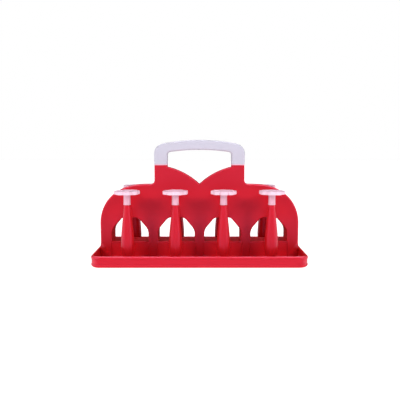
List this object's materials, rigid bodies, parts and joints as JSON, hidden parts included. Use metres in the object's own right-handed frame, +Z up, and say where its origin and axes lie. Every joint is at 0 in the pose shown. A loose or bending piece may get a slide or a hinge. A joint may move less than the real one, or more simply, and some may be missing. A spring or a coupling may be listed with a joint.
{
  "type": "glassware peg rack",
  "caption": "Two-sided countertop rack: drip tray, arched centre panel with windows and carrying handle, tapered pegs with turning flower caps for upturned glasses.",
  "frame": {"origin": "centre of the footprint, on the plane that the rubber feet stand on", "axes": "+X along the tray towards the right-hand end, -Y to the front, +Z up"},
  "size_m": [0.382, 0.194, 0.2217],
  "materials": {
    "red_plastic": "glossy moulded",
    "white_plastic": "satin moulded",
    "cap_plastic": "satin moulded",
    "screw_steel": "zinc plated",
    "foot_rubber": "matte"
  },
  "bodies": {
    "stand": {"drip_tray": "red_plastic", "front_shell": "red_plastic", "rear_shell": "red_plastic", "carrying_handle": "white_plastic", "peg_front_1": "red_plastic", "peg_screw_front_1": "screw_steel", "peg_front_2": "red_plastic", "peg_screw_front_2": "screw_steel", "peg_front_3": "red_plastic", "peg_screw_front_3": "screw_steel", "peg_front_4": "red_plastic", "peg_screw_front_4": "screw_steel", "peg_rear_1": "red_plastic", "peg_screw_rear_1": "screw_steel", "peg_rear_2": "red_plastic", "peg_screw_rear_2": "screw_steel", "peg_rear_3": "red_plastic", "peg_screw_rear_3": "screw_steel", "peg_rear_4": "red_plastic", "peg_screw_rear_4": "screw_steel", "panel_screw_front_1": "screw_steel", "panel_screw_front_2": "screw_steel", "panel_screw_front_3": "screw_steel", "panel_screw_rear_1": "screw_steel", "panel_screw_rear_2": "screw_steel", "panel_screw_rear_3": "screw_steel", "shell_screw_left": "screw_steel", "shell_screw_mid_left": "screw_steel", "shell_screw_mid_right": "screw_steel", "shell_screw_right": "screw_steel", "handle_screw_left": "screw_steel", "handle_screw_right": "screw_steel", "foot_front_left": "foot_rubber", "foot_front_right": "foot_rubber", "foot_rear_left": "foot_rubber", "foot_rear_right": "foot_rubber"},
    "cap_front_1": {"flower_cap_front_1": "cap_plastic"},
    "cap_front_2": {"flower_cap_front_2": "cap_plastic"},
    "cap_front_3": {"flower_cap_front_3": "cap_plastic"},
    "cap_front_4": {"flower_cap_front_4": "cap_plastic"},
    "cap_rear_1": {"flower_cap_rear_1": "cap_plastic"},
    "cap_rear_2": {"flower_cap_rear_2": "cap_plastic"},
    "cap_rear_3": {"flower_cap_rear_3": "cap_plastic"},
    "cap_rear_4": {"flower_cap_rear_4": "cap_plastic"}
  },
  "joints": [
    {"name": "cap_turn_front_1", "type": "hinge", "parent": "stand", "child": "cap_front_1", "pos_m": [-0.129, -0.057, 0.115], "axis": [0, 0, 1], "continuous": true},
    {"name": "cap_turn_front_2", "type": "hinge", "parent": "stand", "child": "cap_front_2", "pos_m": [-0.043, -0.057, 0.115], "axis": [0, 0, 1], "continuous": true},
    {"name": "cap_turn_front_3", "type": "hinge", "parent": "stand", "child": "cap_front_3", "pos_m": [0.043, -0.057, 0.115], "axis": [0, 0, 1], "continuous": true},
    {"name": "cap_turn_front_4", "type": "hinge", "parent": "stand", "child": "cap_front_4", "pos_m": [0.129, -0.057, 0.115], "axis": [0, 0, 1], "continuous": true},
    {"name": "cap_turn_rear_1", "type": "hinge", "parent": "stand", "child": "cap_rear_1", "pos_m": [-0.129, 0.057, 0.115], "axis": [0, 0, 1], "continuous": true},
    {"name": "cap_turn_rear_2", "type": "hinge", "parent": "stand", "child": "cap_rear_2", "pos_m": [-0.043, 0.057, 0.115], "axis": [0, 0, 1], "continuous": true},
    {"name": "cap_turn_rear_3", "type": "hinge", "parent": "stand", "child": "cap_rear_3", "pos_m": [0.043, 0.057, 0.115], "axis": [0, 0, 1], "continuous": true},
    {"name": "cap_turn_rear_4", "type": "hinge", "parent": "stand", "child": "cap_rear_4", "pos_m": [0.129, 0.057, 0.115], "axis": [0, 0, 1], "continuous": true}
  ]
}
